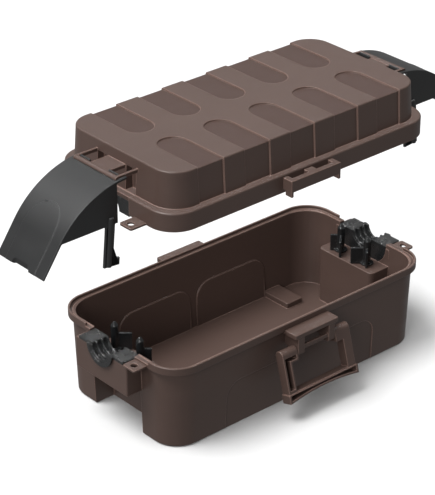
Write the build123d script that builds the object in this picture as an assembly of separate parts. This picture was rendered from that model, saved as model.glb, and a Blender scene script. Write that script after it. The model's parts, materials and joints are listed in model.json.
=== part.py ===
from build123d import *
import math
import os

# Weatherproof cable connection box: a rectangular tub, a fluted lift-off lid, two cable hoods
# that clip on the lid, soft cable seals and strain-relief posts at both ends, and two buckles.
# Frame: millimetres, origin on the underside at the centre of the tub, +X along the length,
# -Y the front with the first buckle, +Z up.  The lid stands raised above the tub.

os.makedirs("parts", exist_ok=True)

# The end blocks, latch brackets and lugs are moulded in one with the tub, and the lid ends,
# catches and lugs with the lid; each is written as a sub-part that meets its moulding face to face.

# ---- driving dimensions ----------------------------------------------------------------
RIM_X = 150.0            # half length over the rim of the tub
RIM_Y = 78.0             # half width over the rim
RIM_TOP = 80.5           # height of the rim's outer lip
RIM_BAND = 7.0           # height of the band that the rim shows outside
RIM_RADIUS = 27.0        # plan radius of the rim's corners
RIM_OVERHANG = 3.0       # how far the rim stands out from the wall
DRAFT = 2.8              # how far a tub wall leans out over its height
WALL = 2.6               # wall and floor thickness of the tub
LIP = 1.8                # thickness of the rim's outer lip
LEDGE_TOP = 77.5         # height of the ledge inside the lip
BEAD = 0.6               # height of the sealing bead on the ledge
PANEL = 0.8              # depth of the wall panels
PANEL_X = 86.5           # half length of the outer wall panel
PANEL_TOP = 44.5         # height of the wall panels
PANEL_RADIUS = 16.0      # radius of a panel's upper corners
PANEL_GAP = 4.0          # half of the gap between the two inner panels

BOSS_X = 162.0           # outer face of the end boss that holds a cable seal
BOSS_Y = 34.0            # half width of the end boss
BOSS_LOW = 45.0          # underside of the end boss
BOSS_TOP = 73.6          # top of the end boss
BOSS_WALL = 2.8          # outer wall of the end boss
PEDESTAL_X = 121.8       # inner face of the pedestal at each end of the tub
PEDESTAL_Y = 34.4        # half width of the pedestal
PEDESTAL_TOP = 57.0      # height of the pedestal
SEAT_Y = 30.0            # half width of the seal's seat
SEAT_RADIUS = 20.0       # radius of the lower corners of the seal's seat
SEAT_CENTRE = 73.5       # height of the centre of those corners
SADDLE_TOP = 77.0        # height of the centre of the cable saddle
SADDLE_R = 13.0          # radius of the cable saddle
RIB_R = 10.8             # inner radius of the ribs round the saddle
SEAL_TOP = 76.0          # top of the lower seal's wings

TAB_X = 157.5            # lock tabs: hole position, half width, hole radius and thickness
TAB_Y = -38.5
TAB_HALF = 7.5
TAB_HOLE_R = 3.0
TAB_THICK = 2.0

PIVOT_Y = 86.5           # buckle hinge axis, distance from the centre plane
PIVOT_Z = 58.5           # height of the buckle hinge axis
PIN_R = 1.5              # hinge pin radius
PIN_FIT = 0.05           # running clearance round a hinge pin
EAR_IN = 14.2            # bracket ears: inner and outer face
EAR_OUT = 21.4
BUCKLE_X = 39.0          # half width of the buckle over its arms
BUCKLE_DEEP = 4.6        # half depth of the buckle
BUCKLE_REACH = 33.7      # hinge axis to the edge that presses on the catch
BUCKLE_END = 43.0        # hinge axis to the end of the buckle
BUCKLE_LEAN = 16.0       # how far the open buckle hangs out from the wall, in degrees
SOFT = 0.6               # rounding of the main moulded edges
SKIN = 2.0               # wall thickness of buckle, hood and pocket

LID_LIFT = 206.0         # height of the lid's lower edge as it stands raised
LID_X = 147.8            # half length over the lid's flange
LID_Y = 75.8             # half width over the lid's flange
LID_RADIUS = 24.8        # plan radius of the flange's corners
FLANGE_TOP = 16.4        # height of the flange, from the lid's lower edge
LID_HEIGHT = 48.0        # height of the whole lid
LID_WALL_X = 141.2       # half length of the lid's wall where it meets the flange
LID_WALL_Y = 70.2        # half width of the lid's wall there
LID_WALL_RADIUS = 23.4   # plan radius of the lid's wall there
LID_DRAFT = 2.0          # how far the lid's wall leans in up to the top
LID_WALL = 2.5           # thickness of the lid's wall and top
SKIRT = 2.4              # thickness of the flange's outer skirt
FLUTE_PITCH = 49.6       # flutes across the lid: spacing, half width, inner end and depth
FLUTE_HALF = 13.6
FLUTE_END = 9.0
FLUTE_DEEP = 1.4
FLUTES = 5
NOTCH_Y = 24.0           # half width of the notch for the cable exit in the lid's flange
NOTCH_X = 139.9          # inner end of that notch
NOTCH_TOP = 12.4         # roof of the notch, above the lid's lower edge
CLOSED_GAP = 78.0        # height of the lid's lower edge when it is shut
CATCH_X = 27.6           # catch on the lid: half length, height, drop of its ears, reach
CATCH_TOP = 13.8
CATCH_LOW = 3.4
CATCH_EAR = -1.0
CATCH_REACH = 10.4
CATCH_BAR = 5.0

BAR_X = 160.5            # hinge bar of a cable hood: distance along X, height, radius, half length
BAR_Z = 37.4
BAR_R = 2.6
BAR_Y = 26.8
BAR_FIT = 0.08           # running clearance of a hood clip on its bar
WEB_Y = 11.0             # half width of the web that carries the bar
POCKET_X = 131.5         # inner face of the wall pockets behind the bar
HOOD_Y = 30.0            # half width of a hood
HOOD_ARC_X = 150.8       # centre and radius of the hood's curved top
HOOD_ARC_Z = -48.2
HOOD_R = 87.0
HOOD_BEND_X = 222.0      # where the curve runs out into the flat tip
HOOD_TIP = (240.2, -22.5)
HOOD_SIDE_LOW = 1.4      # lower edge of the hood's side walls
HOOD_SIDE_IN = 163.6     # inner end of the hood's side walls
HOOK_SWING = 5.2         # swing from the hanging hood to its hooked position, in degrees
HOOK_TOP = -33.4         # top of the hook when it is under the end boss
HOOK_TIP_X = 156.5       # tip of the hook when it is under the end boss
LEG_IN = 163.2           # faces of the hood's leg in that position
LEG_OUT = 172.2

POST_X = 133.5           # strain-relief posts on the pedestal
POST_Y = 17.0
POST_R = 3.45
POST_TOP = 84.0
FOOT_R = 6.1
FOOT_HIGH = 2.0
FIN_TURN = 43.0          # fins of a post: angle to the length, half thickness, top, reaches
FIN_HALF = 1.2
FIN_TOP = 73.5
FIN_IN = 15.0
FIN_OUT = 9.8
SCREW_R = 1.5            # screws that hold posts and stops from below
SCREW_HEAD_R = 2.9
SCREW_HEAD = 2.0
SCREW_DEEP = 10.0

LEFT, RIGHT = -1, 1
FRONT, BACK = -1, 1


# ---- helpers ---------------------------------------------------------------------------
def block(x0, x1, y0, y1, z0, z1):
    """An upright box between two corners."""
    centre = Pos((x0 + x1) / 2, (y0 + y1) / 2, (z0 + z1) / 2)
    return centre * Box(abs(x1 - x0), abs(y1 - y0), abs(z1 - z0))


def plan(half_x, half_y, radius, z0, z1, grow=0.0):
    """A rounded rectangular block whose walls lean out by grow over its height."""
    outline = Plane.XY.offset(z0) * RectangleRounded(2 * half_x, 2 * half_y, radius)
    lean = -math.degrees(math.atan2(grow, z1 - z0))
    return extrude(outline, amount=z1 - z0, taper=lean)


def along_x(radius, x0, x1, y, z):
    """A round bar along X."""
    return Pos((x0 + x1) / 2, y, z) * Rot(0, 90, 0) * Cylinder(radius, abs(x1 - x0))


def along_y(radius, y0, y1, x, z):
    """A round bar along Y."""
    return Pos(x, (y0 + y1) / 2, z) * Rot(90, 0, 0) * Cylinder(radius, abs(y1 - y0))


def upright(radius, x, y, z0, z1):
    """A round bar along Z."""
    return Pos(x, y, (z0 + z1) / 2) * Cylinder(radius, z1 - z0)


def other_end(shape):
    """The same shape at the right-hand end."""
    return mirror(shape, Plane.YZ)


def at_back(shape):
    """The same shape turned half a turn about the upright axis, for the back."""
    return Rot(0, 0, 180) * shape


def write(name, shape):
    """Write one sub-part."""
    export_step(shape, "parts/" + name + ".step")


# ---- tub -------------------------------------------------------------------------------
def tub_body(inset, z0, z1):
    """The tub's drafted outside, moved in by inset, between two heights."""
    height = RIM_TOP - RIM_BAND
    lean = DRAFT / height
    half_x = RIM_X - RIM_OVERHANG - DRAFT - inset + lean * z0
    half_y = RIM_Y - RIM_OVERHANG - DRAFT - inset + lean * z0
    radius = RIM_RADIUS - RIM_OVERHANG - inset + lean * z0
    return plan(half_x, half_y, radius, z0, z1, lean * (z1 - z0))


def arch(x0, x1, y0, y1, top):
    """An upright panel with rounded upper corners, from below the floor to its top."""
    low = -20.0
    outline = Pos((x0 + x1) / 2, (low + top) / 2) * RectangleRounded(x1 - x0, top - low, PANEL_RADIUS)
    return extrude(Plane.XZ.offset(-y1) * outline, amount=y1 - y0)


def wall_panels(tub):
    """Sink one long panel in each outer long wall and raise two panels on each inner one."""
    skin_out = tub_body(0, 0, PANEL_TOP + 5) - tub_body(PANEL, 0, PANEL_TOP + 5)
    skin_in = tub_body(WALL, WALL, PANEL_TOP + 5) - tub_body(WALL + PANEL, WALL, PANEL_TOP + 5)
    for side in (FRONT, BACK):
        y0, y1 = sorted((side * 60.0, side * 90.0))
        tub -= skin_out & arch(-PANEL_X, PANEL_X, y0, y1, PANEL_TOP)
        for x0, x1 in ((-PANEL_X, -PANEL_GAP), (PANEL_GAP, PANEL_X)):
            tub += skin_in & arch(x0, x1, y0, y1, PANEL_TOP + 1)
    return tub


def seat(x0, x1, shrink=0.0):
    """The rounded seat of a cable seal, as a solid along X, open towards the top."""
    half = SEAT_Y - shrink
    low = PEDESTAL_TOP + 0.2 + shrink
    outline = Pos(0, SEAT_CENTRE + 10) * RectangleRounded(2 * half, 60, SEAT_RADIUS - shrink)
    shape = extrude(Plane.YZ.offset(x0) * outline, amount=x1 - x0)
    return shape & block(x0, x1, -half, half, low, 90)


def end_boss():
    """The boss outside the left end wall, hollow below, without its seal seat."""
    boss = block(-BOSS_X, -RIM_X + 6, -BOSS_Y, BOSS_Y, BOSS_LOW, BOSS_TOP)
    boss = fillet(boss.edges().filter_by(Axis.Z).group_by(Axis.X)[0], 1.2)
    boss = fillet(boss.faces().sort_by(Axis.Z)[-1].edges(), SOFT)
    hollow = block(-BOSS_X + 3, -RIM_X + 3, -SEAT_Y - 0.7, SEAT_Y + 0.7, BOSS_LOW - 1, PEDESTAL_TOP - 2.4)
    return boss - hollow


def lock_lug(z0, root):
    """A lock lug at the left end: a flat tongue with a hole for a lock or a cable tie."""
    lug = block(-TAB_X - 6.2, root, TAB_Y - TAB_HALF, TAB_Y + TAB_HALF, z0, z0 + TAB_THICK)
    lug = fillet(lug.edges().filter_by(Axis.Z).group_by(Axis.X)[0], 2.0)
    return lug - upright(TAB_HOLE_R, -TAB_X, TAB_Y, z0 - 1, z0 + TAB_THICK + 1)


def tub_end_zone():
    """The space that the left end block takes out of the tub."""
    return block(-BOSS_X - 10, -PEDESTAL_X, -PEDESTAL_Y, PEDESTAL_Y, -5, RIM_TOP + 5)


def tub_lug():
    """The lug on the tub's rim, resting against the rim and on the end boss."""
    boss = block(-BOSS_X, -RIM_X, -BOSS_Y, BOSS_Y, BOSS_LOW, BOSS_TOP)
    return lock_lug(SEAL_TOP - TAB_THICK, -RIM_X) - boss


def lid_lug():
    """The lug on the lid's flange."""
    return Pos(0, 0, LID_LIFT) * lock_lug(0, -LID_X)


def latch_bracket():
    """The front bracket that carries the buckle: a top plate, two ears and a cross bar."""
    wall_y = -(RIM_Y - RIM_OVERHANG - 1.0)
    plate = block(-25, 25, -PIVOT_Y - 5.5, wall_y, 71.5, 75.5)
    plate = fillet(plate.edges().filter_by(Axis.Z).group_by(Axis.Y)[0], 1.5)
    plate = fillet(plate.faces().sort_by(Axis.Z)[-1].edges(), SOFT)
    bar = block(-EAR_IN - 1, EAR_IN + 1, -PIVOT_Y - 4, -PIVOT_Y - 1.6, 59.0, 62.6)
    shape = plate + bar
    front = -PIVOT_Y - BUCKLE_DEEP - 0.3
    profile = [(wall_y, 73), (front, 73), (front, 55.5), (front + 1.8, 54), (-83, 54), (wall_y, 61)]
    for side in (LEFT, RIGHT):
        x0, x1 = sorted((side * EAR_IN, side * EAR_OUT))
        face = Plane.YZ.offset(x0) * Polygon(*profile, align=None)
        ear = extrude(face, amount=x1 - x0)
        shape += ear - along_x(PIN_R, x0 - 1, x1 + 1, -PIVOT_Y, PIVOT_Z)
    rim = plan(RIM_X, RIM_Y, RIM_RADIUS, RIM_TOP - RIM_BAND, RIM_TOP)
    return shape - tub_body(0, 0, RIM_TOP) - rim


def whole_tub():
    """The tub with its ends, before it is parted into a middle and two end blocks."""
    tub = tub_body(0, 0, RIM_TOP - RIM_BAND + 2)
    tub = fillet(tub.faces().sort_by(Axis.Z)[0].edges(), 1.6)
    rim = plan(RIM_X, RIM_Y, RIM_RADIUS, RIM_TOP - RIM_BAND, RIM_TOP)
    tub += fillet(rim.faces().sort_by(Axis.Z)[-1].edges() + rim.faces().sort_by(Axis.Z)[0].edges(), SOFT)
    tub -= tub_body(WALL, WALL, RIM_TOP + 2)
    step = plan(RIM_X - LIP, RIM_Y - LIP, RIM_RADIUS - LIP, LEDGE_TOP, RIM_TOP + 1)
    tub -= step
    bead_x = RIM_X - RIM_OVERHANG - WALL
    bead_y = RIM_Y - RIM_OVERHANG - WALL
    bead_r = RIM_RADIUS - RIM_OVERHANG - WALL
    bead = plan(bead_x + 1.4, bead_y + 1.4, bead_r + 1.4, LEDGE_TOP - 0.5, LEDGE_TOP + BEAD)
    tub += bead - plan(bead_x + 0.3, bead_y + 0.3, bead_r + 0.3, LEDGE_TOP - 1, LEDGE_TOP + 2)
    tub = wall_panels(tub)

    pad = block(87, 106, 38, 72, WALL - 0.5, 8)
    pad = fillet(pad.edges().filter_by(Axis.Z).group_by(Axis.Y)[0], 1.5)
    tub += fillet(pad.faces().sort_by(Axis.Z)[-1].edges(), SOFT) & tub_body(1, 0, 20)

    pedestal = block(-RIM_X, -PEDESTAL_X, -PEDESTAL_Y, PEDESTAL_Y, 0, PEDESTAL_TOP)
    pedestal = fillet(pedestal.edges().filter_by(Axis.Z).group_by(Axis.X)[-1], 5.0)
    pedestal = fillet(pedestal.faces().sort_by(Axis.Z)[-1].edges(), SOFT)
    pedestal &= tub_body(1, 0, RIM_TOP)
    recess = block(-RIM_X, -PEDESTAL_X - 2.4, -PEDESTAL_Y + 2.5, PEDESTAL_Y - 2.5, -1, PEDESTAL_TOP - WALL)
    seat_cut = seat(-BOSS_X + BOSS_WALL, -RIM_X + 10)
    saddle_cut = along_x(SADDLE_R + 2.0, -BOSS_X - 1, -BOSS_X + BOSS_WALL + 1, 0, SADDLE_TOP)
    lip_start = TAB_Y - TAB_HALF - 1.5
    lip_cut = block(-RIM_X - 1, -RIM_X + 3.2, lip_start, SEAT_Y + 6, LEDGE_TOP, RIM_TOP + 1)
    added = pedestal + end_boss()
    removed = recess + seat_cut + saddle_cut + lip_cut
    tub = tub + added + other_end(added)
    tub = tub - removed - other_end(removed)
    for end in (LEFT, RIGHT):
        for side in (FRONT, BACK):
            low, high = PEDESTAL_TOP - WALL - 1, PEDESTAL_TOP + 1
            tub -= upright(SCREW_R + 0.2, end * POST_X, side * POST_Y, low, high)
    return tub


# ---- cable seals, posts and screws -----------------------------------------------------
def lower_seal():
    """The left lower seal: a block in its seat, two wings, a lip and ribs round the saddle."""
    inner = -RIM_X + 6.2
    outer = -BOSS_X - 0.2
    body = seat(-BOSS_X + BOSS_WALL + 0.2, inner, 0.2) & block(-200, 0, -50, 50, 0, SEAL_TOP)
    wings = block(outer, inner, -SEAT_Y + 0.8, SEAT_Y - 0.8, BOSS_TOP, SEAL_TOP)
    neck = along_x(SADDLE_R + 1.8, outer, inner, 0, SADDLE_TOP)
    lip = along_x(SADDLE_R + 3.8, outer - 1.8, outer, 0, SADDLE_TOP)
    seal = body + wings + ((neck + lip) & block(-200, 0, -50, 50, 0, SEAL_TOP))
    seal -= along_x(SADDLE_R, outer - 3, inner + 1, 0, SADDLE_TOP)
    pitch = (inner - outer - 1.0) / 3
    for place in range(4):
        x0 = outer - 1.2 + place * pitch
        rib = along_x(SADDLE_R + 0.5, x0, x0 + 1.7, 0, SADDLE_TOP)
        rib -= along_x(RIB_R, x0 - 1, x0 + 3, 0, SADDLE_TOP)
        seal += rib & block(-200, 0, -50, 50, 0, SEAL_TOP)
    return seal


def upper_seal():
    """The left upper seal, in the lid's end notch, arched over the cable, with two grooves."""
    low = -1.6
    outer, inner = -LID_X + 0.4, -NOTCH_X - 0.2
    cable_z = SADDLE_TOP - CLOSED_GAP
    pad = block(outer, inner, -NOTCH_Y + 0.2, NOTCH_Y - 0.2, low, NOTCH_TOP)
    pad -= along_x(RIB_R, outer - 1, inner + 1, 0, cable_z)
    for x in (outer + 2.2, inner - 2.2):
        pad -= along_x(RIB_R + 1.6, x - 0.7, x + 0.7, 0, cable_z)
    return Pos(0, 0, LID_LIFT) * pad


def post(end, side):
    """A round post with a foot, a pointed head and two fins that spread towards the tub."""
    x, y = end * POST_X, side * POST_Y
    shape = upright(POST_R, x, y, PEDESTAL_TOP, POST_TOP - 3.5)
    shape += Pos(x, y, POST_TOP - 1.75) * Cone(POST_R, 1.0, 3.5)
    shape += upright(FOOT_R, x, y, PEDESTAL_TOP, PEDESTAL_TOP + FOOT_HIGH)
    for reach, turn in ((FIN_IN, end * side * FIN_TURN), (FIN_OUT, -end * side * FIN_TURN)):
        fin = block(0, -end * reach, -FIN_HALF, FIN_HALF, PEDESTAL_TOP, FIN_TOP)
        shape += Pos(x, y, 0) * Rot(0, 0, turn) * fin
    return shape - upright(SCREW_R + 0.02, x, y, PEDESTAL_TOP - 1, PEDESTAL_TOP + SCREW_DEEP)


def post_screw(x, y):
    """A pan-head screw that comes up through the pedestal."""
    head_top = PEDESTAL_TOP - WALL
    shank = upright(SCREW_R, x, y, head_top - 0.5, PEDESTAL_TOP + SCREW_DEEP - 1)
    head = upright(SCREW_HEAD_R, x, y, head_top - SCREW_HEAD, head_top)
    head = fillet(head.faces().sort_by(Axis.Z)[0].edges(), 0.7)
    slot = block(x - 2.0, x + 2.0, y - 0.35, y + 0.35, head_top - SCREW_HEAD - 1, head_top - SCREW_HEAD + 0.8)
    return shank + head - slot - slot.rotate(Axis((x, y, 0), (0, 0, 1)), 90)


# ---- buckles ---------------------------------------------------------------------------
def bow_region(half_x, edge_z, rise, low):
    """The region below an arc that spans the buckle's end and bows up in the middle."""
    arc = ThreePointArc((-half_x, edge_z), (0, edge_z + rise), (half_x, edge_z))
    sides = Polyline((half_x, edge_z), (half_x, low), (-half_x, low), (-half_x, edge_z))
    return make_face(Curve() + [arc, sides])


def buckle_outline():
    """The buckle seen square on: two stepped arms round a window, and an end bar."""
    narrow, wide, step, top = 22.0, 30.0, -8.2, 5.0
    half = [(narrow, top + 1), (narrow, step), (wide, step), (wide, -BUCKLE_REACH)]
    window = half + [(-x, z) for x, z in reversed(half)]
    outer = Pos(0, (top - BUCKLE_END) / 2) * Rectangle(2 * BUCKLE_X, top + BUCKLE_END)
    return outer - Polygon(*window, align=None)


def buckle_pocket(side):
    """The hollow in one arm, wide beside the hinge and narrow below it."""
    points = [
        (32, -31.7), (32, -6.2), (24, -6.2), (24, -2.6), (BUCKLE_X - SKIN, -2.6), (BUCKLE_X - SKIN, -31.7),
    ]
    return Polygon(*[(side * x, z) for x, z in points], align=None)


def buckle():
    """The front buckle, hanging open, with its hollows facing out."""
    deep = BUCKLE_DEEP
    front = Plane.XZ.offset(deep)
    flange_x, flange_y, rise = BUCKLE_X + 1.3, deep + 1.2, 3.8
    shape = extrude(front * buckle_outline(), amount=-2 * deep)
    shape += block(-flange_x, flange_x, -flange_y, deep, -BUCKLE_END, -BUCKLE_REACH - 1.0)
    shape -= extrude(Plane.XZ.offset(40) * bow_region(60, -BUCKLE_END - 4.3, rise + 4.3, -60), amount=-80)
    tray = Pos(0, -BUCKLE_REACH - SKIN - 5) * Rectangle(2 * BUCKLE_X - 2, 10)
    tray -= bow_region(60, -BUCKLE_END - 4.3 + SKIN, rise + 4.3, -60)
    shape -= extrude(Plane.XZ.offset(flange_y + 1) * tray, amount=-2 * deep - 2.2 + SKIN)
    for side in (LEFT, RIGHT):
        x0, x1 = sorted((side * 21.0, side * (BUCKLE_X + 1)))
        corner = block(x0, x1, -deep - 1, deep + 1, 0, 6)
        shape -= corner - along_x(deep, x0 - 1, x1 + 1, 0, 0)
        shape -= extrude(front * buckle_pocket(side), amount=-2 * deep + SKIN)
        x0, x1 = sorted((side * 21.0, side * (BUCKLE_X - 1.5)))
        shape -= along_x(PIN_R + PIN_FIT, x0, x1, 0, 0)
    return Pos(0, -PIVOT_Y, PIVOT_Z) * Rot(-BUCKLE_LEAN, 0, 0) * shape


def buckle_pin(side):
    """A steel pin through one bracket ear, with its free end in the buckle's arm."""
    x0, x1 = sorted((side * (EAR_IN + 0.4), side * (BUCKLE_X - 2.0)))
    pin = along_x(PIN_R, x0, x1, -PIVOT_Y, PIVOT_Z)
    return chamfer(pin.edges().filter_by(GeomType.CIRCLE), 0.3)


# ---- lid -------------------------------------------------------------------------------
def lid_body(inset, z0, z1):
    """The lid's drafted upper box, moved in by inset, between two heights above its edge."""
    lean = LID_DRAFT / (LID_HEIGHT - FLANGE_TOP)
    shrink = inset + lean * (z0 - FLANGE_TOP)
    base = (LID_WALL_X - shrink, LID_WALL_Y - shrink, LID_WALL_RADIUS - shrink)
    return plan(*base, z0, z1, -lean * (z1 - z0))


def flute(x, side):
    """The cutter of one flute: a slot with a round inner end that runs out over the edge."""
    start = side * (FLUTE_END + FLUTE_HALF)
    y0, y1 = sorted((start, side * 90.0))
    slot = block(x - FLUTE_HALF, x + FLUTE_HALF, y0, y1, LID_HEIGHT - FLUTE_DEEP, LID_HEIGHT + 5)
    slot += upright(FLUTE_HALF, x, start, LID_HEIGHT - FLUTE_DEEP, LID_HEIGHT + 5)
    down = block(x - FLUTE_HALF, x + FLUTE_HALF, *sorted((side * 50.0, side * 90.0)), FLANGE_TOP, LID_HEIGHT)
    return slot + (down - lid_body(FLUTE_DEEP, FLANGE_TOP, LID_HEIGHT + 1))


def hood_mount():
    """What carries the left hood: a hinge bar on a web and two arms, and two wall pockets."""
    wall_x = -LID_WALL_X + 2.0
    shape = along_y(BAR_R, -BAR_Y, BAR_Y, -BAR_X, BAR_Z)
    shape += block(-BAR_X, wall_x, -WEB_Y, WEB_Y, BAR_Z - 2.0, BAR_Z + 1.0)
    for side in (LEFT, RIGHT):
        y0, y1 = sorted((side * (BAR_Y - 2.0), side * BAR_Y))
        shape += block(-BAR_X, wall_x, y0, y1, BAR_Z - 0.4, BAR_Z + BAR_R)
        y0, y1 = sorted((side * (WEB_Y - 1), side * (BAR_Y - 0.2)))
        shape += block(wall_x - 0.5, -POCKET_X, y0, y1, FLANGE_TOP - 2, BAR_Z + 3)
    return shape


def hood_pockets():
    """The hollows of the two wall pockets behind the left hood's hinge bar."""
    shape = None
    for side in (LEFT, RIGHT):
        y0, y1 = sorted((side * (WEB_Y + 1), side * (BAR_Y - 2.2)))
        hollow = block(-LID_WALL_X - 2, -POCKET_X - 2, y0, y1, FLANGE_TOP, BAR_Z + 1)
        shape = hollow if shape is None else shape + hollow
    return shape


def lid_catch():
    """The front catch: a bar in front of two slots, a bridge between them, and two ears."""
    root = -LID_Y + 1.5
    front = -LID_Y - CATCH_REACH
    shape = block(-CATCH_X, CATCH_X, front, front + CATCH_BAR, CATCH_LOW, CATCH_TOP)
    shape += block(-4.5, 4.5, front, root, CATCH_LOW, CATCH_TOP)
    for side in (LEFT, RIGHT):
        x0, x1 = sorted((side * (CATCH_X - 5.0), side * CATCH_X))
        shape += block(x0, x1, front, root, CATCH_LOW, CATCH_TOP)
        x0, x1 = sorted((side * (CATCH_X - 2.2), side * CATCH_X))
        shape += block(x0, x1, front, -RIM_Y - 0.6, CATCH_EAR, CATCH_TOP)
    return Pos(0, 0, LID_LIFT) * (shape - plan(LID_X, LID_Y, LID_RADIUS, 0, FLANGE_TOP))


def lid_end_zone():
    """The space that the left lid end takes out of the lid."""
    return block(-LID_X - 30, -POCKET_X, -BAR_Y, BAR_Y, -5, BAR_Z + 3)


def whole_lid():
    """The lid with its ends at the height of its own edge, before it is parted."""
    flange = plan(LID_X, LID_Y, LID_RADIUS, 0, FLANGE_TOP)
    flange = fillet(flange.faces().sort_by(Axis.Z)[-1].edges(), 1.6)
    lid = flange + lid_body(0, FLANGE_TOP - 1, LID_HEIGHT)
    lid = fillet(lid.faces().sort_by(Axis.Z)[-1].edges(), 1.4)
    lid -= plan(LID_X - 5.4, LID_Y - 5.4, LID_RADIUS - 5.4, -1, 5.1)
    lid -= plan(LID_X - SKIRT, LID_Y - SKIRT, LID_RADIUS - SKIRT, 5, FLANGE_TOP - SKIRT)
    groove = plan(LID_X - 1.6, LID_Y - 1.6, LID_RADIUS - 1.6, -1, 3)
    lid -= groove - plan(LID_X - 4.6, LID_Y - 4.6, LID_RADIUS - 4.6, -2, 4)
    lid -= lid_body(LID_WALL, FLANGE_TOP - SKIRT - 1, LID_HEIGHT - FLUTE_DEEP - 2.0)
    for place in range(FLUTES):
        x = (place - (FLUTES - 1) / 2) * FLUTE_PITCH
        lid -= flute(x, FRONT)
        lid -= flute(x, BACK)

    rear_in = -NOTCH_X + 2.0
    shelf = block(-LID_X + 0.8, rear_in, -NOTCH_Y, NOTCH_Y, NOTCH_TOP, FLANGE_TOP - 0.4)
    rear = block(-NOTCH_X, rear_in, -NOTCH_Y, NOTCH_Y, 0, NOTCH_TOP + 0.6)
    rear -= along_x(SADDLE_R, -NOTCH_X - 1, rear_in + 1, 0, SADDLE_TOP - CLOSED_GAP)
    cheeks = block(-LID_X + 2, rear_in, -NOTCH_Y - 2, NOTCH_Y + 2, 0.5, FLANGE_TOP - 1)
    notch = block(-LID_X - 2, -NOTCH_X, -NOTCH_Y, NOTCH_Y, -2, NOTCH_TOP)
    notch += block(-LID_X - 2, -LID_WALL_X - 0.3, -NOTCH_Y, NOTCH_Y, -2, FLANGE_TOP + 2)
    cheeks -= block(-LID_X - 2, rear_in + 1, -NOTCH_Y, NOTCH_Y, -1, FLANGE_TOP)
    added = cheeks + hood_mount()
    lid = lid + added + other_end(added)
    removed = notch + hood_pockets()
    lid = lid - removed - other_end(removed)
    return lid + (shelf + rear) + other_end(shelf + rear)


def lid_gasket(side):
    """One half of the soft ring in the groove under the lid's flange."""
    ring = plan(LID_X - 1.7, LID_Y - 1.7, LID_RADIUS - 1.7, 0.5, 3.0)
    ring -= plan(LID_X - 4.5, LID_Y - 4.5, LID_RADIUS - 4.5, 0, 4)
    y0, y1 = sorted((side * (NOTCH_Y + 2.2), side * LID_Y))
    return Pos(0, 0, LID_LIFT) * (ring & block(-LID_X, LID_X, y0, y1, 0, 4))


# ---- cable hoods -----------------------------------------------------------------------
def hood_profile(drop):
    """The hood seen from the side, moved in by drop, down to below the side walls."""
    centre = (-HOOD_ARC_X, HOOD_ARC_Z)
    radius = HOOD_R - drop
    lean = math.acos((HOOD_BEND_X - HOOD_ARC_X) / HOOD_R)
    bend = (centre[0] - radius * math.cos(lean), centre[1] + radius * math.sin(lean))
    run = math.dist((HOOD_BEND_X, 1.5), HOOD_TIP) + 0.8
    tip = (bend[0] - run * math.sin(lean), bend[1] - run * math.cos(lean))
    start = (-150.0, centre[1] + math.sqrt(radius ** 2 - (150.0 - HOOD_ARC_X) ** 2))
    middle_turn = (lean + math.pi / 2) / 2
    middle = (centre[0] - radius * math.cos(middle_turn), centre[1] + radius * math.sin(middle_turn))
    edge = Curve() + [ThreePointArc(start, middle, bend), Line(bend, tip)]
    back_x = tip[0] + 60 * math.cos(lean)
    back_z = tip[1] - 60 * math.sin(lean)
    edge += [Polyline(tip, (back_x, back_z), (-150.0, back_z), start)]
    return make_face(edge)


def hood_slab(drop, y0, y1):
    """The whole space under the hood's surface, between two planes across it."""
    return extrude(Plane.XZ.offset(-y1) * hood_profile(drop), amount=y1 - y0)


def hood_leg(side):
    """A leg with a rib and a hook, built hooked and swung out to the hanging position."""
    y0, y1 = sorted((side * (HOOD_Y - 2.4), side * HOOD_Y))
    low = HOOK_TOP - 3.0
    leg = block(-LEG_OUT, -LEG_IN, y0, y1, low, HOOD_SIDE_LOW + 8)
    hook = block(-LEG_OUT, -HOOK_TIP_X, y0, y1, low, HOOK_TOP)
    lip = block(-HOOK_TIP_X - 2.2, -HOOK_TIP_X, y0, y1, low, HOOK_TOP + 3.6)
    middle_x = -(LEG_IN + LEG_OUT) / 2
    rib = upright(2.2, middle_x, side * HOOD_Y, low + 0.6, HOOD_SIDE_LOW + 6)
    shape = leg + hook + lip + rib
    return shape.rotate(Axis((-BAR_X, 0, BAR_Z), (0, 1, 0)), HOOK_SWING)


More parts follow.
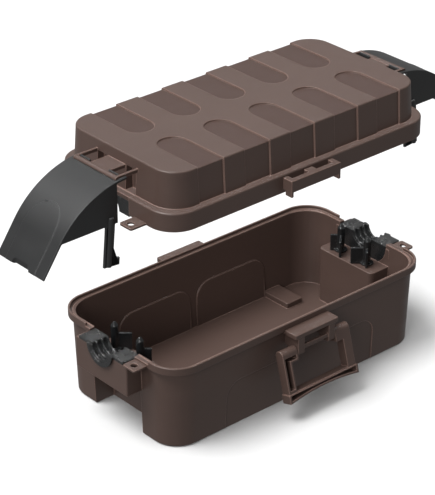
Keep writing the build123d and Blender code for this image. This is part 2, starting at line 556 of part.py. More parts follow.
def hood():
    """The left hood: a curved sheet with side walls, two hooked legs and two hinge clips."""
    sheet = hood_slab(0, -HOOD_Y, HOOD_Y) - hood_slab(SKIN, -HOOD_Y - 1, HOOD_Y + 1)
    tip_x, tip_z = -HOOD_TIP[0], HOOD_TIP[1]
    pad = hood_slab(-0.8, -19, 19) - hood_slab(0.5, -20, 20)
    pad_plan = block(-300, -222, -19, 19, -60, 60) + upright(19, -222, 0, -60, 60)
    sheet += pad & pad_plan
    notch = block(tip_x - 20, tip_x + 2.6, -12, 12, tip_z - 30, tip_z + 30)
    notch = fillet(notch.edges().filter_by(Axis.Z).group_by(Axis.X)[-1], 5.0)
    sheet -= notch
    sheet &= block(-300, -HOOD_SIDE_IN + 10.1, -40, 40, -100, 100)
    gap = block(-BAR_X - BAR_R - 0.3, 0, -BAR_Y - 0.4, BAR_Y + 0.4, 0, 100)
    shape = sheet - gap
    side_space = hood_slab(1.0, -HOOD_Y, HOOD_Y) & block(-300, -HOOD_SIDE_IN, -40, 40, HOOD_SIDE_LOW, 60)
    for side in (LEFT, RIGHT):
        y0, y1 = sorted((side * (HOOD_Y - SKIN), side * HOOD_Y))
        shape += side_space & block(-300, 0, y0, y1, -10, 60)
        shape += hood_leg(side)
        y0, y1 = sorted((side * (WEB_Y + 1.2), side * (BAR_Y - 2.6)))
        clip = along_y(BAR_R + BAR_FIT + 1.7, y0, y1, -BAR_X, BAR_Z)
        clip -= along_y(BAR_R + BAR_FIT, y0 - 1, y1 + 1, -BAR_X, BAR_Z)
        opening = Polygon((0, 0), (12, 12), (0, 14), (-14, 12), (-14, 0.6), align=None)
        mouth = Plane((-BAR_X, y1 + 1, BAR_Z), x_dir=(1, 0, 0), z_dir=(0, -1, 0)) * opening
        clip -= extrude(mouth, amount=y1 - y0 + 2)
        shape += clip
    return Pos(0, 0, LID_LIFT) * shape


# ---- write every sub-part --------------------------------------------------------------
def main():
    tub, zone = whole_tub(), tub_end_zone()
    write("base_tub", tub - zone - other_end(zone))
    write("left_end_block", tub & zone)
    write("right_end_block", other_end(tub & zone))
    write("front_latch_bracket", latch_bracket())
    write("back_latch_bracket", at_back(latch_bracket()))
    write("left_lower_seal", lower_seal())
    write("right_lower_seal", other_end(lower_seal()))
    for end_name, end in (("left", LEFT), ("right", RIGHT)):
        for side_name, side in (("front", FRONT), ("back", BACK)):
            place = side_name + "_" + end_name
            write(place + "_post", post(end, side))
            write(place + "_post_screw", post_screw(end * POST_X, side * POST_Y))
        write("front_" + end_name + "_buckle_pin", buckle_pin(end))
        write("back_" + end_name + "_buckle_pin", at_back(buckle_pin(-end)))
    write("left_tub_lug", tub_lug())
    write("right_tub_lug", other_end(tub_lug()))
    write("left_lid_lug", lid_lug())
    write("right_lid_lug", other_end(lid_lug()))
    write("front_buckle", buckle())
    write("back_buckle", at_back(buckle()))
    lid, zone = Pos(0, 0, LID_LIFT) * whole_lid(), Pos(0, 0, LID_LIFT) * lid_end_zone()
    write("lid_shell", lid - zone - other_end(zone))
    write("left_lid_end", lid & zone)
    write("right_lid_end", other_end(lid & zone))
    write("front_lid_catch", lid_catch())
    write("back_lid_catch", at_back(lid_catch()))
    write("front_gasket", lid_gasket(FRONT))
    write("back_gasket", lid_gasket(BACK))
    write("left_upper_seal", upper_seal())
    write("right_upper_seal", other_end(upper_seal()))
    write("left_hood", hood())
    write("right_hood", other_end(hood()))


main()
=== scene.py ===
"""A weatherproof cable connection box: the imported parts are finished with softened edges,
moulded cable ribs, procedural materials and a plain studio."""
import json
import math

import bmesh
import bpy
from bpy.props import FloatProperty, FloatVectorProperty, IntProperty, PointerProperty
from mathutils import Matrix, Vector
from mathutils.bvhtree import BVHTree

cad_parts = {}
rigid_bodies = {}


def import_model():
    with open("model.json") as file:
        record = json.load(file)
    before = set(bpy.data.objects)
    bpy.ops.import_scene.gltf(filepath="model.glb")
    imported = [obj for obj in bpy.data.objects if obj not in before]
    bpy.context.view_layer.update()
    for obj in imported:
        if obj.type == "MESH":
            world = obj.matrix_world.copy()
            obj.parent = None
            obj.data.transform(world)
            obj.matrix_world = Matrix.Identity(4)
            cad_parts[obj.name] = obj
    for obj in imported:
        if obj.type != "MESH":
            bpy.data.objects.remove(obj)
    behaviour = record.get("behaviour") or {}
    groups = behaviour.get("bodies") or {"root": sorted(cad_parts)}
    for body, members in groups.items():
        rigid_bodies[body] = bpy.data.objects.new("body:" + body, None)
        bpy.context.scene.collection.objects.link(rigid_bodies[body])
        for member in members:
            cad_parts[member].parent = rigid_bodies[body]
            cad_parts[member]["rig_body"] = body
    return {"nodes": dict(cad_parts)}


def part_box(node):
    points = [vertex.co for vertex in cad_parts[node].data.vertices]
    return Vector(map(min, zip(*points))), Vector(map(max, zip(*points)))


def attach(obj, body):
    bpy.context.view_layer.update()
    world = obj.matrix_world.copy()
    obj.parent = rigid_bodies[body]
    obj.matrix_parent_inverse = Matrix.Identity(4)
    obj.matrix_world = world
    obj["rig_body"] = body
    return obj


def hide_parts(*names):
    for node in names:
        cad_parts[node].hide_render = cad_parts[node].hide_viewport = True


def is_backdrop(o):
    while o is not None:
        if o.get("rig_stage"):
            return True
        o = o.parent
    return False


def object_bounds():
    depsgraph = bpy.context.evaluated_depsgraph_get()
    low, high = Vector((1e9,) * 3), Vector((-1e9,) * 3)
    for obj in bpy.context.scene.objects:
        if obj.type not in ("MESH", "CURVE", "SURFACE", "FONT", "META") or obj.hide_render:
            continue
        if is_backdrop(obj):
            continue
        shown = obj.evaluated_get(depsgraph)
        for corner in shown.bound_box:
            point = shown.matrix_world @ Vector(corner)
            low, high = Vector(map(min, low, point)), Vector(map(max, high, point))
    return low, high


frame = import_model()
CAD_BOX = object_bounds()

bl_info = {
    "name": "Cable Connection Box",
    "version": (1, 0, 0),
    "blender": (4, 5, 0),
    "location": "View3D > Sidebar > Cable Box",
    "description": "Finishes a weatherproof cable connection box and its studio",
    "category": "Object",
}

ENDS = ("left", "right")
SIDES = ("front", "back")
WELD = 2e-6                    # points nearer than this are one, in metres
FLAT = math.radians(0.5)       # faces nearer than this to one plane are one face
SHARP = math.radians(32)       # edges sharper than this are rounded
CREASE = math.radians(30)      # edges sharper than this stay creased in shading
FLUTE_BAND = (0.0018, 0.0009)  # the flutes' floors lie between these depths below the lid's top
ARC_STEPS = 40                 # points along a cable rib
RIB_SIDES = 16                 # sides of a cable rib's round crest
RIB_TRIM = 0.06                # angle that a cable rib leaves free below the seal's top
PANEL_STEPS = 12               # steps round a wall panel's corner
BEAD_SIDES = 10                # sides of a wall panel's round bead
FLOOR_HALF = 5.0               # half the width of the studio's floor
FLOOR_DROP = 0.0005            # gap between the box and the studio's floor


# ---- what a user would change ----------------------------------------------------------
def colour(name, description, default):
    """A colour setting."""
    return FloatVectorProperty(
        name=name, description=description, subtype="COLOR", size=3, min=0, max=1, default=default
    )


def length(name, description, default):
    """A length setting, in metres."""
    return FloatProperty(name=name, description=description, unit="LENGTH", min=0, default=default)


def share(name, description, default):
    """A setting from 0 to 1."""
    return FloatProperty(
        name=name, description=description, subtype="FACTOR", min=0, max=1, default=default
    )


def strength(name, description, default):
    """A light's strength."""
    return FloatProperty(name=name, description=description, min=0, default=default)


class CABLEBOX_PG_finish(bpy.types.PropertyGroup):
    """Colours and gloss"""

    shell: colour("Shell", "Colour of the tub, the lid and the buckles", (0.068, 0.0430, 0.0355))
    hood: colour("Hood", "Colour of the cable hoods", (0.014, 0.0143, 0.0146))
    seal: colour("Seal", "Colour of the soft cable seals", (0.013, 0.0133, 0.0137))
    post: colour("Post", "Colour of the strain-relief posts", (0.010, 0.0105, 0.011))
    gasket: colour("Gasket", "Colour of the foamed gasket", (0.060, 0.060, 0.062))
    steel: colour("Steel", "Colour of the pins and screws", (0.56, 0.56, 0.57))
    shell_roughness: share("Shell Roughness", "Roughness of the shell", 0.40)
    hood_roughness: share("Hood Roughness", "Roughness of the hoods", 0.40)
    seal_roughness: share("Seal Roughness", "Roughness of the soft seals", 0.27)
    post_roughness: share("Post Roughness", "Roughness of the posts", 0.20)


class CABLEBOX_PG_sizes(bpy.types.PropertyGroup):
    """Sizes of the fine shapes"""

    soft_edge: length("Soft Edge", "Width of the rounding on a moulded edge", 0.00040)
    post_edge: length("Post Edge", "Width of the rounding on a post's edge", 0.00070)
    fine_edge: length("Fine Edge", "Width of the rounding on a small part's edge", 0.00025)
    rib_count: IntProperty(name="Ribs", description="Ribs round one cable saddle", min=1, default=4)
    rib_pitch: length("Rib Pitch", "Distance from rib to rib", 0.0058)
    rib_first: length("First Rib", "First rib from the seal's outer face", 0.00145)
    rib_radius: length("Rib Radius", "Radius of a rib's round crest", 0.00105)
    rib_bend: length("Rib Bend", "Radius that a rib's crest follows round the cable", 0.01155)
    saddle_rise: length("Saddle Rise", "Height of the cable's axis over the seal's top", 0.0010)
    bead_radius: length("Bead", "Radius of the round edge of a wall panel", 0.00070)
    panel_half: length("Panel", "Half length of the wall panels", 0.0865)
    panel_gap: length("Panel Gap", "Half of the gap between the inner panels", 0.0040)
    panel_top: length("Panel Top", "Height of the inner wall panels", 0.0456)
    panel_radius: length("Panel Corner", "Radius of a panel's upper corners", 0.0160)
    floor_thickness: length("Floor", "Thickness of the tub's floor", 0.0030)


class CABLEBOX_PG_studio(bpy.types.PropertyGroup):
    """Camera and lights"""

    azimuth: FloatProperty(
        name="Azimuth", description="Direction that the camera looks in", subtype="ANGLE",
        default=math.radians(41.2),
    )
    pitch: FloatProperty(
        name="Pitch", description="How far down the camera looks", subtype="ANGLE",
        default=math.radians(28.5),
    )
    distance: length("Distance", "Camera to target", 1.8559)
    target: FloatVectorProperty(
        name="Target", description="Point at the middle of the view", subtype="TRANSLATION",
        default=(-0.0132, 0.0221, 0.110),
    )
    lens: FloatProperty(
        name="Lens", description="Focal length in millimetres", min=1, default=154.57
    )
    key_strength: strength("Key", "Strength of the high light from the left", 4.1)
    top_strength: strength("Top", "Strength of the broad overhead light", 1.4)
    side_strength: strength("Side", "Strength of the low light from the left", 1.3)
    ambient: strength("Ambient", "Strength of the room's light", 0.30)


# ---- materials -------------------------------------------------------------------------
class Recipe:
    """Builds one procedural material on object coordinates."""

    def __init__(self, name):
        self.material = bpy.data.materials.new(name)
        self.material.use_nodes = True
        self.tree = self.material.node_tree
        self.shader = self.tree.nodes["Principled BSDF"]
        self.place = self.add("ShaderNodeTexCoord").outputs["Object"]

    def add(self, kind, **values):
        """A node with its named inputs set, by a value or by a link."""
        node = self.tree.nodes.new(kind)
        for key, value in values.items():
            self.feed(node.inputs[key.replace("_", " ")], value)
        return node

    def feed(self, socket, value):
        """Link a socket to another or set its value."""
        if isinstance(value, bpy.types.NodeSocket):
            self.tree.links.new(value, socket)
        else:
            socket.default_value = value

    def noise(self, size, detail=3.0, stretch=(1, 1, 1)):
        """Noise whose features measure about size metres, drawn out along an axis by stretch."""
        place = self.add("ShaderNodeMapping", Vector=self.place, Scale=stretch).outputs[0]
        node = self.add("ShaderNodeTexNoise", Vector=place, Scale=1 / size, Detail=detail)
        return node.outputs["Fac"]

    def between(self, value, low, high, start=0.3, end=0.7):
        """A value brought from the range start..end to the range low..high."""
        node = self.add("ShaderNodeMapRange", Value=value)
        node.inputs["From Min"].default_value = start
        node.inputs["From Max"].default_value = end
        node.inputs["To Min"].default_value = low
        node.inputs["To Max"].default_value = high
        return node.outputs["Result"]

    def blend(self, amount, first, second):
        """Two colours mixed by an amount."""
        node = self.tree.nodes.new("ShaderNodeMix")
        node.data_type = "RGBA"
        self.feed(node.inputs[0], amount)
        self.feed(node.inputs[6], first)
        self.feed(node.inputs[7], second)
        return node.outputs[2]

    def rounded_normal(self, radius):
        """The surface's normal with its edges rounded."""
        node = self.add("ShaderNodeBevel", Radius=radius)
        node.samples = 6
        return node.outputs[0]

    def edge_highlight_amount(self, rounded):
        """How near an edge is: 0 on a flat and up to 1 on an edge."""
        true_normal = self.add("ShaderNodeNewGeometry").outputs["Normal"]
        dot = self.tree.nodes.new("ShaderNodeVectorMath")
        dot.operation = "DOT_PRODUCT"
        self.feed(dot.inputs[0], rounded)
        self.feed(dot.inputs[1], true_normal)
        return self.between(dot.outputs["Value"], low=1.0, high=0.0, start=0.80, end=0.995)

    def math(self, operation, first, second):
        """The result of one sum on two values."""
        node = self.tree.nodes.new("ShaderNodeMath")
        node.operation = operation
        self.feed(node.inputs[0], first)
        self.feed(node.inputs[1], second)
        return node.outputs[0]

    def level_band(self, low, high):
        """1 on faces that look up and lie between two heights, and 0 elsewhere."""
        height = self.add("ShaderNodeSeparateXYZ", Vector=self.place).outputs["Z"]
        faces = self.add("ShaderNodeNewGeometry").outputs["True Normal"]
        upward = self.add("ShaderNodeSeparateXYZ", Vector=faces).outputs["Z"]
        above = self.math("GREATER_THAN", height, low)
        below = self.math("LESS_THAN", height, high)
        level = self.math("GREATER_THAN", upward, 0.9)
        return self.math("MULTIPLY", self.math("MULTIPLY", above, below), level)

    def bump(self, height, depth, normal=None):
        """A bump of the given depth in metres over an optional base normal."""
        node = self.add("ShaderNodeBump", Height=height, Distance=depth, Strength=1.0)
        if normal is not None:
            self.feed(node.inputs["Normal"], normal)
        return node.outputs[0]

    def finish(self, **values):
        """Set the shader's inputs and hand over the material."""
        for key, value in values.items():
            self.feed(self.shader.inputs[key.replace("_", " ")], value)
        return self.material


def opaque(rgb, factor=1.0):
    """A colour with alpha, lightened or darkened by a factor."""
    return (*[min(1.0, channel * factor) for channel in rgb], 1.0)


def moulded_plastic(name, rgb, roughness, depth=0.000022, specular=0.38, flutes=None):
    """Injection-moulded plastic: spark-eroded grain, faint flow marks and a painted highlight that
    pales the edges.

    Level faces between the two heights of flutes, where it is given, get painted shade: the
    recessed flute floors are painted darker and more saturated.
    """
    mat = Recipe(name)
    cloud = mat.noise(size=0.11, detail=4.0)
    flow = mat.noise(size=0.03, detail=5.0, stretch=(0.25, 1.0, 2.2))
    grain = mat.noise(size=0.00045, detail=2.0)
    waves = mat.noise(size=0.02, detail=3.0)
    body = mat.blend(mat.between(cloud, 0.0, 1.0), opaque(rgb, 0.93), opaque(rgb, 1.07))
    body = mat.blend(mat.between(flow, 0.0, 0.35), body, opaque(rgb, 1.12))
    rounded = mat.rounded_normal(radius=0.0010)
    # Painted highlight: edges found by the rounded normal are painted up to five times paler, in
    # place of light caught on rounded edges.
    edges = mat.math("MULTIPLY", mat.edge_highlight_amount(rounded), 0.75)
    body = mat.blend(edges, body, opaque(rgb, 5.0))
    if flutes:
        # Painted shade: the recessed flute floors are painted darker and more saturated than the
        # lid's top.
        painted_flute_shade = opaque((rgb[0] * 0.72, rgb[1] * 0.62, rgb[2] * 0.60))
        body = mat.blend(mat.level_band(*flutes), body, painted_flute_shade)
    polish = mat.between(flow, roughness - 0.035, roughness + 0.045)
    normal = mat.bump(grain, depth, rounded)
    normal = mat.bump(waves, 0.00004, normal)
    return mat.finish(Base_Color=body, Roughness=polish, Specular_IOR_Level=specular, Normal=normal)


def soft_rubber(name, rgb, roughness):
    """Dense elastomer: a fine tooth, a faint bloom and rounded edges."""
    mat = Recipe(name)
    bloom = mat.between(mat.noise(size=0.012, detail=3.0), 0.0, 1.0)
    body = mat.blend(bloom, opaque(rgb, 0.94), opaque(rgb, 1.08))
    wear = mat.noise(size=0.009, detail=3.0)
    polish = mat.between(wear, roughness - 0.025, roughness + 0.03)
    tooth = mat.noise(size=0.0006, detail=3.0)
    normal = mat.bump(tooth, 0.000006, mat.rounded_normal(radius=0.0006))
    return mat.finish(Base_Color=body, Roughness=polish, Specular_IOR_Level=0.5, Normal=normal)


def foam_rubber(name, rgb):
    """Closed-cell foam: small open pits in a matt skin, with painted shade darkening the pits."""
    mat = Recipe(name)
    pit = 0.0006
    cells = mat.add("ShaderNodeTexVoronoi", Vector=mat.place, Scale=1 / pit).outputs["Distance"]
    # Painted shade: the pits' centres are painted darker and the cell walls paler, following the
    # bump.
    depth = mat.between(cells, low=0.0, high=1.0, start=0.1, end=0.6)
    body = mat.blend(depth, opaque(rgb, 0.6), opaque(rgb, 1.3))
    normal = mat.bump(cells, 0.0001)
    return mat.finish(Base_Color=body, Roughness=mat.between(cells, 0.75, 0.9), Normal=normal)


def turned_steel(name, rgb):
    """Plated steel: fine turning lines and slight stains."""
    mat = Recipe(name)
    lines = mat.noise(size=0.0004, detail=2.0, stretch=(3.0, 0.4, 0.4))
    stain = mat.between(mat.noise(size=0.003, detail=4.0), 0.0, 1.0)
    body = mat.blend(stain, opaque(rgb, 0.85), opaque(rgb, 1.1))
    polish = mat.between(lines, 0.24, 0.38)
    normal = mat.bump(lines, 0.00001, mat.rounded_normal(radius=0.0002))
    return mat.finish(Base_Color=body, Metallic=1.0, Roughness=polish, Normal=normal)


def make_materials():
    """Every finish of the box, by the record's slot names."""
    look = bpy.context.scene.cablebox_finish
    lid_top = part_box("lid_shell")[1].z
    flutes = [lid_top - drop for drop in FLUTE_BAND]
    return {
        "shell_brown": moulded_plastic(
            "shell_plastic", look.shell, look.shell_roughness, flutes=flutes
        ),
        "buckle_brown": moulded_plastic(
            "buckle_plastic", look.shell, look.shell_roughness - 0.03
        ),
        "hood_black": moulded_plastic(
            "hood_plastic", look.hood, look.hood_roughness, depth=0.000012, specular=0.40
        ),
        "post_black": moulded_plastic(
            "post_plastic", look.post, look.post_roughness, depth=0.000008, specular=0.5
        ),
        "seal_black": soft_rubber("seal_rubber", look.seal, look.seal_roughness),
        "gasket_grey": foam_rubber("gasket_foam", look.gasket),
        "pin_steel": turned_steel("pin_steel", look.steel),
        "screw_steel": turned_steel("screw_steel", look.steel),
    }


MATERIALS = {}


def material(slot):
    """The finish of a slot, made once."""
    if not MATERIALS:
        MATERIALS.update(make_materials())
    return MATERIALS[slot]


# ---- making pieces ---------------------------------------------------------------------
def body_of(node):
    """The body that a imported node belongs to."""
    return frame["nodes"][node]["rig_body"]


def dress(node, slot):
    """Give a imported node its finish."""
    mesh = frame["nodes"][node].data
    mesh.materials.clear()
    mesh.materials.append(material(slot))


def new_piece(name, mesh, slot, body):
    """A finished mesh that rides on a body and takes a slot's finish."""
    piece = bpy.data.objects.new(name, mesh)
    bpy.context.scene.collection.objects.link(piece)
    mesh.materials.clear()
    mesh.materials.append(material(slot))
    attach(piece, body)
    return piece


def welded(node, name):
    """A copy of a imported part's mesh with its triangles joined and its flat faces made whole."""
    mesh = frame["nodes"][node].data.copy()
    mesh.name = name
    stored = mesh.attributes.get("custom_normal")
    if stored:
        mesh.attributes.remove(stored)
    shape = bmesh.new()
    shape.from_mesh(mesh)
    bmesh.ops.remove_doubles(shape, verts=shape.verts, dist=WELD)
    bmesh.ops.dissolve_limit(
        shape, angle_limit=FLAT, verts=shape.verts, edges=shape.edges, delimit={"NORMAL"}
    )
    shape.to_mesh(mesh)
    shape.free()
    rough = bpy.data.objects.new(name, mesh)
    bpy.context.scene.collection.objects.link(rough)
    return rough


def applied(rough):
    """The plain mesh that an object's modifiers make of it."""
    evaluated = rough.evaluated_get(bpy.context.evaluated_depsgraph_get())
    return bpy.data.meshes.new_from_object(evaluated)


def settled(rough):
    """The plain mesh of an object with its modifiers applied and its flats shaded evenly."""
    rough.data = applied(rough)
    rough.modifiers.clear()
    rough.data.shade_smooth()
    rough.data.set_sharp_from_angle(angle=CREASE)
    even = rough.modifiers.new("even", "WEIGHTED_NORMAL")
    even.keep_sharp = True
    mesh = applied(rough)
    bpy.data.objects.remove(rough)
    return mesh


def softened(node, name, slot, width):
    """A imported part's shape with its sharp edges rounded, in place of that part."""
    rough = welded(node, name + "_rough")
    rounding = rough.modifiers.new("rounding", "BEVEL")
    rounding.width = width
    rounding.segments = 2
    rounding.limit_method = "ANGLE"
    rounding.angle_limit = SHARP
    rounding.use_clamp_overlap = False
    rounding.miter_outer = "MITER_SHARP"
    piece = new_piece(name, settled(rough), slot, body_of(node))
    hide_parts(node)
    return piece


def fused(nodes, name, slot):
    """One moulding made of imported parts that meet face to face, in place of those parts."""
    rough = welded(nodes[0], name + "_rough")
    others = [welded(node, node + "_rough") for node in nodes[1:]]
    for other in others:
        joint = rough.modifiers.new(other.name, "BOOLEAN")
        joint.operation = "UNION"
        joint.solver = "EXACT"
        joint.object = other
    mesh = settled(rough)
    for other in others:
        bpy.data.objects.remove(other)
    piece = new_piece(name, mesh, slot, body_of(nodes[0]))
    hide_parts(*nodes)
    return piece


# ---- node trees ------------------------------------------------------------------------
RIB_INPUTS = (
    ("Ribs", "NodeSocketInt"),
    ("Pitch", "NodeSocketFloat"),
    ("Bend", "NodeSocketFloat"),
    ("Crest", "NodeSocketFloat"),
    ("Sweep", "NodeSocketFloat"),
    ("First", "NodeSocketVector"),
    ("Material", "NodeSocketMaterial"),
)
BEAD_INPUTS = (
    ("Path", "NodeSocketGeometry"),
    ("Radius", "NodeSocketFloat"),
    ("Material", "NodeSocketMaterial"),
)


def new_tree(name, inputs):
    """A node tree with named inputs, and the sockets that give their values."""
    tree = bpy.data.node_groups.new(name, "GeometryNodeTree")
    tree.interface.new_socket("Geometry", in_out="OUTPUT", socket_type="NodeSocketGeometry")
    for label, kind in inputs:
        tree.interface.new_socket(label, in_out="INPUT", socket_type=kind)
    return tree, tree.nodes.new("NodeGroupInput").outputs


def round_tube(tree, path, radius, sides):
    """A round, closed tube along a path."""
    nodes, link = tree.nodes, tree.links.new
    ring = nodes.new("GeometryNodeCurvePrimitiveCircle")
    ring.inputs["Resolution"].default_value = sides
    link(radius, ring.inputs["Radius"])
    tube = nodes.new("GeometryNodeCurveToMesh")
    tube.inputs["Fill Caps"].default_value = True
    link(path, tube.inputs["Curve"])
    link(ring.outputs["Curve"], tube.inputs["Profile Curve"])
    return tube.outputs[0]


def end_tree(tree, shape, finish):
    """End a tree with real, smooth geometry in its material."""
    nodes, link = tree.nodes, tree.links.new
    real = nodes.new("GeometryNodeRealizeInstances")
    link(shape, real.inputs[0])
    smooth = nodes.new("GeometryNodeSetShadeSmooth")
    link(real.outputs[0], smooth.inputs["Geometry"])
    dressed = nodes.new("GeometryNodeSetMaterial")
    link(smooth.outputs[0], dressed.inputs["Geometry"])
    link(finish, dressed.inputs["Material"])
    link(dressed.outputs[0], nodes.new("NodeGroupOutput").inputs[0])


def rib_tree():
    """A row of round arcs that hang below a cable's axis, one after another along X."""
    tree, given = new_tree("saddle_ribs", RIB_INPUTS)
    nodes, link = tree.nodes, tree.links.new
    arc = nodes.new("GeometryNodeCurveArc")
    arc.inputs["Resolution"].default_value = ARC_STEPS
    link(given["Bend"], arc.inputs["Radius"])
    link(given["Sweep"], arc.inputs["Sweep Angle"])
    start = nodes.new("ShaderNodeMath")
    start.operation = "MULTIPLY_ADD"
    link(given["Sweep"], start.inputs[0])
    start.inputs[1].default_value = -0.5
    start.inputs[2].default_value = -math.pi / 2
    link(start.outputs[0], arc.inputs["Start Angle"])
    rib = round_tube(tree, arc.outputs["Curve"], given["Crest"], RIB_SIDES)
    upright = nodes.new("GeometryNodeTransform")
    upright.inputs["Rotation"].default_value = (math.pi / 2, 0, math.pi / 2)
    link(rib, upright.inputs["Geometry"])
    step = nodes.new("ShaderNodeCombineXYZ")
    link(given["Pitch"], step.inputs["X"])
    row = nodes.new("GeometryNodeMeshLine")
    link(given["Ribs"], row.inputs["Count"])
    link(given["First"], row.inputs["Start Location"])
    link(step.outputs[0], row.inputs["Offset"])
    copies = nodes.new("GeometryNodeInstanceOnPoints")
    link(row.outputs[0], copies.inputs["Points"])
    link(upright.outputs[0], copies.inputs["Instance"])
    end_tree(tree, copies.outputs[0], given["Material"])
    return tree


def bead_tree():
    """A round bead along the edges of a mesh."""
    tree, given = new_tree("panel_bead", BEAD_INPUTS)
    path = tree.nodes.new("GeometryNodeMeshToCurve")
    tree.links.new(given["Path"], path.inputs[0])
    bead = round_tube(tree, path.outputs[0], given["Radius"], BEAD_SIDES)
    end_tree(tree, bead, given["Material"])
    return tree


def grown(name, tree, values, start=None):
    """The plain mesh that a node tree makes from its named values, and from a start mesh."""
    seed = bpy.data.objects.new(name, start or bpy.data.meshes.new(name))
    bpy.context.scene.collection.objects.link(seed)
    grower = seed.modifiers.new(name, "NODES")
    grower.node_group = tree
    for item in tree.interface.items_tree:
        if item.name in values:
            grower[item.identifier] = values[item.name]
    mesh = applied(seed)
    bpy.data.objects.remove(seed)
    return mesh


# ---- the cable ribs --------------------------------------------------------------------
def saddle_ribs(end, tree):
    """The round crests of the ribs that grip the cable at one end."""
    sizes = bpy.context.scene.cablebox_sizes
    low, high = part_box(end + "_lower_seal")
    first_x = low.x + sizes.rib_first
    if end == "right":
        first_x = high.x - sizes.rib_first - (sizes.rib_count - 1) * sizes.rib_pitch
    sweep = math.pi - 2 * math.asin(sizes.saddle_rise / sizes.rib_bend) - RIB_TRIM
    values = {
        "Ribs": sizes.rib_count,
        "Pitch": sizes.rib_pitch,
        "Bend": sizes.rib_bend,
        "Crest": sizes.rib_radius,
        "Sweep": sweep,
        "First": (first_x, 0.0, high.z + sizes.saddle_rise),
        "Material": material("seal_black"),
    }
    mesh = grown(end + "_saddle_ribs", tree, values)
    return new_piece(end + "_saddle_ribs", mesh, "seal_black", "base")


# ---- the beads round the wall panels ---------------------------------------------------
def nearest_wall(node):
    """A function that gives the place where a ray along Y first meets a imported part."""
    mesh = frame["nodes"][node].data
    points = [point.co for point in mesh.vertices]
    tree = BVHTree.FromPolygons(points, [face.vertices for face in mesh.polygons])

    def meet(x, y, z, direction):
        return tree.ray_cast(Vector((x, y, z)), Vector((0, direction, 0)))[0]

    return meet


def panel_outline(x0, x1, low, top, radius):
    """Points along a panel's edge, up one side, over its rounded corners and down the other."""
    points = [(x0, low)]
    for centre, start in ((x0 + radius, math.pi), (x1 - radius, math.pi / 2)):
        for step in range(PANEL_STEPS + 1):
            angle = start - step / PANEL_STEPS * math.pi / 2
            across = centre + radius * math.cos(angle)
            points.append((across, top - radius + radius * math.sin(angle)))
    return points + [(x1, low)]


def panel_beads():
    """The fine round edges of the panels inside the tub's long walls."""
    sizes = bpy.context.scene.cablebox_sizes
    meet = nearest_wall("base_tub")
    floor = sizes.floor_thickness
    half, gap, top = sizes.panel_half, sizes.panel_gap, sizes.panel_top
    points, lines = [], []
    for side in (-1, 1):
        for x0, x1 in ((-half, -gap), (gap, half)):
            first = len(points)
            for x, z in panel_outline(x0, x1, floor, top, sizes.panel_radius):
                points.append(meet(x, 0.0, z, side))
            lines += [(spot, spot + 1) for spot in range(first, len(points) - 1)]
    mesh = bpy.data.meshes.new("panel_path")
    mesh.from_pydata(points, lines, [])
    values = {"Radius": sizes.bead_radius, "Material": material("shell_brown")}
    beads = grown("panel_beads", bead_tree(), values, mesh)
    return new_piece("panel_beads", beads, "shell_brown", "base")


# ---- operators -------------------------------------------------------------------------
class CABLEBOX_OT_tub(bpy.types.Operator):
    """Make the tub, its brackets and its lock lugs"""

    bl_idname = "cablebox.tub"
    bl_label = "Tub"

    def execute(self, context):
        width = context.scene.cablebox_sizes.fine_edge
        fused(("base_tub", "left_end_block", "right_end_block"), "tub_moulding", "shell_brown")
        panel_beads()
        for side in SIDES:
            softened(side + "_latch_bracket", side + "_bracket_moulding", "shell_brown", width)
        for end in ENDS:
            softened(end + "_tub_lug", end + "_tub_lug_moulding", "shell_brown", width)
        return {"FINISHED"}


class CABLEBOX_OT_lid(bpy.types.Operator):
    """Make the lid, its catches and lock lugs, and dress its gasket"""

    bl_idname = "cablebox.lid"
    bl_label = "Lid"

    def execute(self, context):
        width = context.scene.cablebox_sizes.fine_edge
        fused(("lid_shell", "left_lid_end", "right_lid_end"), "lid_moulding", "shell_brown")
        for side in SIDES:
            softened(side + "_lid_catch", side + "_catch_moulding", "shell_brown", width)
        for end in ENDS:
            softened(end + "_lid_lug", end + "_lid_lug_moulding", "shell_brown", width)
        for side in SIDES:
            dress(side + "_gasket", "gasket_grey")
        return {"FINISHED"}


class CABLEBOX_OT_hoods(bpy.types.Operator):
    """Make the two cable hoods"""

    bl_idname = "cablebox.hoods"
    bl_label = "Cable Hoods"

    def execute(self, context):
        width = context.scene.cablebox_sizes.soft_edge
        for end in ENDS:
            softened(end + "_hood", end + "_hood_moulding", "hood_black", width)
        return {"FINISHED"}


class CABLEBOX_OT_buckles(bpy.types.Operator):
    """Make the two buckles and dress their pins"""

    bl_idname = "cablebox.buckles"
    bl_label = "Buckles"

    def execute(self, context):
        width = context.scene.cablebox_sizes.soft_edge
        for side in SIDES:
            softened(side + "_buckle", side + "_buckle_moulding", "buckle_brown", width)
            for end in ENDS:
                dress(side + "_" + end + "_buckle_pin", "pin_steel")
        return {"FINISHED"}


class CABLEBOX_OT_seals(bpy.types.Operator):
    """Make the cable seals and the ribs in their saddles"""

    bl_idname = "cablebox.seals"
    bl_label = "Cable Seals"

    def execute(self, context):
        tree = rib_tree()
        width = context.scene.cablebox_sizes.fine_edge
        for end in ENDS:
            softened(end + "_lower_seal", end + "_lower_seal_block", "seal_black", width)
            softened(end + "_upper_seal", end + "_upper_seal_block", "seal_black", width)
            saddle_ribs(end, tree)
        return {"FINISHED"}


class CABLEBOX_OT_posts(bpy.types.Operator):
    """Make the strain-relief posts and dress their screws"""

    bl_idname = "cablebox.posts"
    bl_label = "Posts"

    def execute(self, context):
        width = context.scene.cablebox_sizes.post_edge
        for end in ENDS:
            for side in SIDES:
                place = side + "_" + end
                softened(place + "_post", place + "_post_moulding", "post_black", width)
                dress(place + "_post_screw", "screw_steel")
        return {"FINISHED"}


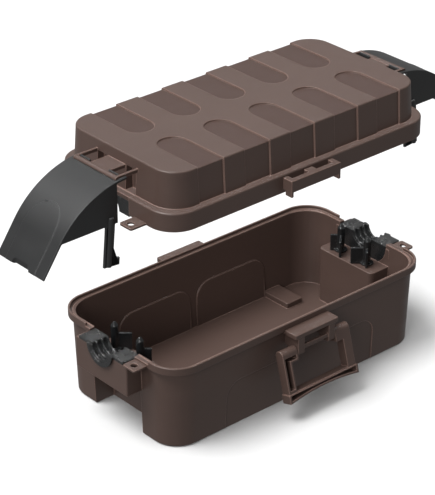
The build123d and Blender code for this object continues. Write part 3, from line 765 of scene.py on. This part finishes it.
class CABLEBOX_OT_studio(bpy.types.Operator):
    """Make the floor, the lights and the camera"""

    bl_idname = "cablebox.studio"
    bl_label = "Studio"

    def execute(self, context):
        studio = context.scene.cablebox_studio
        pale_floor()
        soft_light("key", (-0.40, 0.22, 0.88), math.radians(35), studio.key_strength)
        soft_light("side", (-0.80, -0.38, 0.45), math.radians(25), studio.side_strength)
        soft_light("top", (0.10, 0.30, 1.00), math.radians(90), studio.top_strength)
        room_light(studio.ambient)
        place_camera(studio)
        context.scene.view_settings.view_transform = "Standard"
        return {"FINISHED"}


def pale_floor():
    """A wide, plain, pale floor that throws no light back onto the box."""
    corners = [(x * FLOOR_HALF, y * FLOOR_HALF, 0) for x, y in ((-1, -1), (1, -1), (1, 1), (-1, 1))]
    mesh = bpy.data.meshes.new("floor")
    mesh.from_pydata(corners, [], [(0, 1, 2, 3)])
    floor = bpy.data.objects.new("floor", mesh)
    floor.location.z = -FLOOR_DROP
    floor.visible_diffuse = False
    floor.visible_glossy = False
    bpy.context.scene.collection.objects.link(floor)
    mat = Recipe("pale_floor")
    cloud = mat.noise(size=0.8, detail=2.0)
    tone = mat.blend(cloud, (0.56, 0.56, 0.56, 1), (0.59, 0.59, 0.59, 1))
    mesh.materials.append(mat.finish(Base_Color=tone, Roughness=0.9, Specular_IOR_Level=0.1))
    floor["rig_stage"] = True


def soft_light(name, direction, spread, strength):
    """A broad, even light from one direction."""
    lamp = bpy.data.lights.new(name, "SUN")
    lamp.angle = spread
    lamp.energy = strength
    lamp.cycles.use_multiple_importance_sampling = False
    light = bpy.data.objects.new(name, lamp)
    light.location = Vector(direction)
    light.rotation_euler = (-light.location).to_track_quat("-Z", "Y").to_euler()
    bpy.context.scene.collection.objects.link(light)


def room_light(strength):
    """Even, neutral light from all round."""
    world = bpy.data.worlds.new("room")
    world.use_nodes = True
    sky = world.node_tree.nodes["Background"]
    sky.inputs["Color"].default_value = (1, 1, 1, 1)
    sky.inputs["Strength"].default_value = strength
    bpy.context.scene.world = world


def place_camera(studio):
    """The camera, level, looking down at its target."""
    along_floor = math.cos(studio.pitch)
    east = math.sin(studio.azimuth) * along_floor
    north = math.cos(studio.azimuth) * along_floor
    look = Vector((east, north, -math.sin(studio.pitch)))
    data = bpy.data.cameras.new("camera")
    data.lens = studio.lens
    data.sensor_width = 36
    data.clip_end = 20
    camera = bpy.data.objects.new("camera", data)
    camera.location = Vector(studio.target) - look * studio.distance
    camera.rotation_euler = look.to_track_quat("-Z", "Y").to_euler()
    bpy.context.scene.collection.objects.link(camera)
    bpy.context.scene.camera = camera


PIECES = (
    CABLEBOX_OT_tub, CABLEBOX_OT_lid, CABLEBOX_OT_hoods, CABLEBOX_OT_buckles,
    CABLEBOX_OT_seals, CABLEBOX_OT_posts, CABLEBOX_OT_studio,
)


class CABLEBOX_PT_panel(bpy.types.Panel):
    """Lists what can be made"""

    bl_idname = "CABLEBOX_PT_panel"
    bl_label = "Cable Connection Box"
    bl_space_type = "VIEW_3D"
    bl_region_type = "UI"
    bl_category = "Cable Box"

    def draw(self, context):
        for piece in PIECES:
            self.layout.operator(piece.bl_idname)
        for group in ("cablebox_finish", "cablebox_sizes", "cablebox_studio"):
            settings = getattr(context.scene, group)
            for key in settings.__annotations__:
                self.layout.prop(settings, key)


GROUPS = (
    ("cablebox_finish", CABLEBOX_PG_finish),
    ("cablebox_sizes", CABLEBOX_PG_sizes),
    ("cablebox_studio", CABLEBOX_PG_studio),
)


def register():
    """Add the settings, the operators and the panel."""
    for name, group in GROUPS:
        bpy.utils.register_class(group)
        setattr(bpy.types.Scene, name, PointerProperty(type=group))
    for kind in PIECES + (CABLEBOX_PT_panel,):
        bpy.utils.register_class(kind)


def unregister():
    """Take them all away again."""
    for kind in reversed(PIECES + (CABLEBOX_PT_panel,)):
        bpy.utils.unregister_class(kind)
    for name, group in reversed(GROUPS):
        delattr(bpy.types.Scene, name)
        bpy.utils.unregister_class(group)


def light_through_lid():
    """Let light pass the raised lid and its hoods, so that the tub below is lit like the lid."""
    for piece in bpy.data.objects:
        if piece.get("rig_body") in ("lid", "left_hood", "right_hood"):
            piece.visible_shadow = False


def main():
    """Make every piece and the studio."""
    register()
    for make in ("studio", "tub", "lid", "hoods", "buckles", "seals", "posts"):
        getattr(bpy.ops.cablebox, make)()
    light_through_lid()
    visual_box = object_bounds()
    boxes = {
        name: [list(corner) for corner in box]
        for name, box in (("cad", CAD_BOX), ("visual", visual_box))
    }


if __name__ == "__main__":
    main()
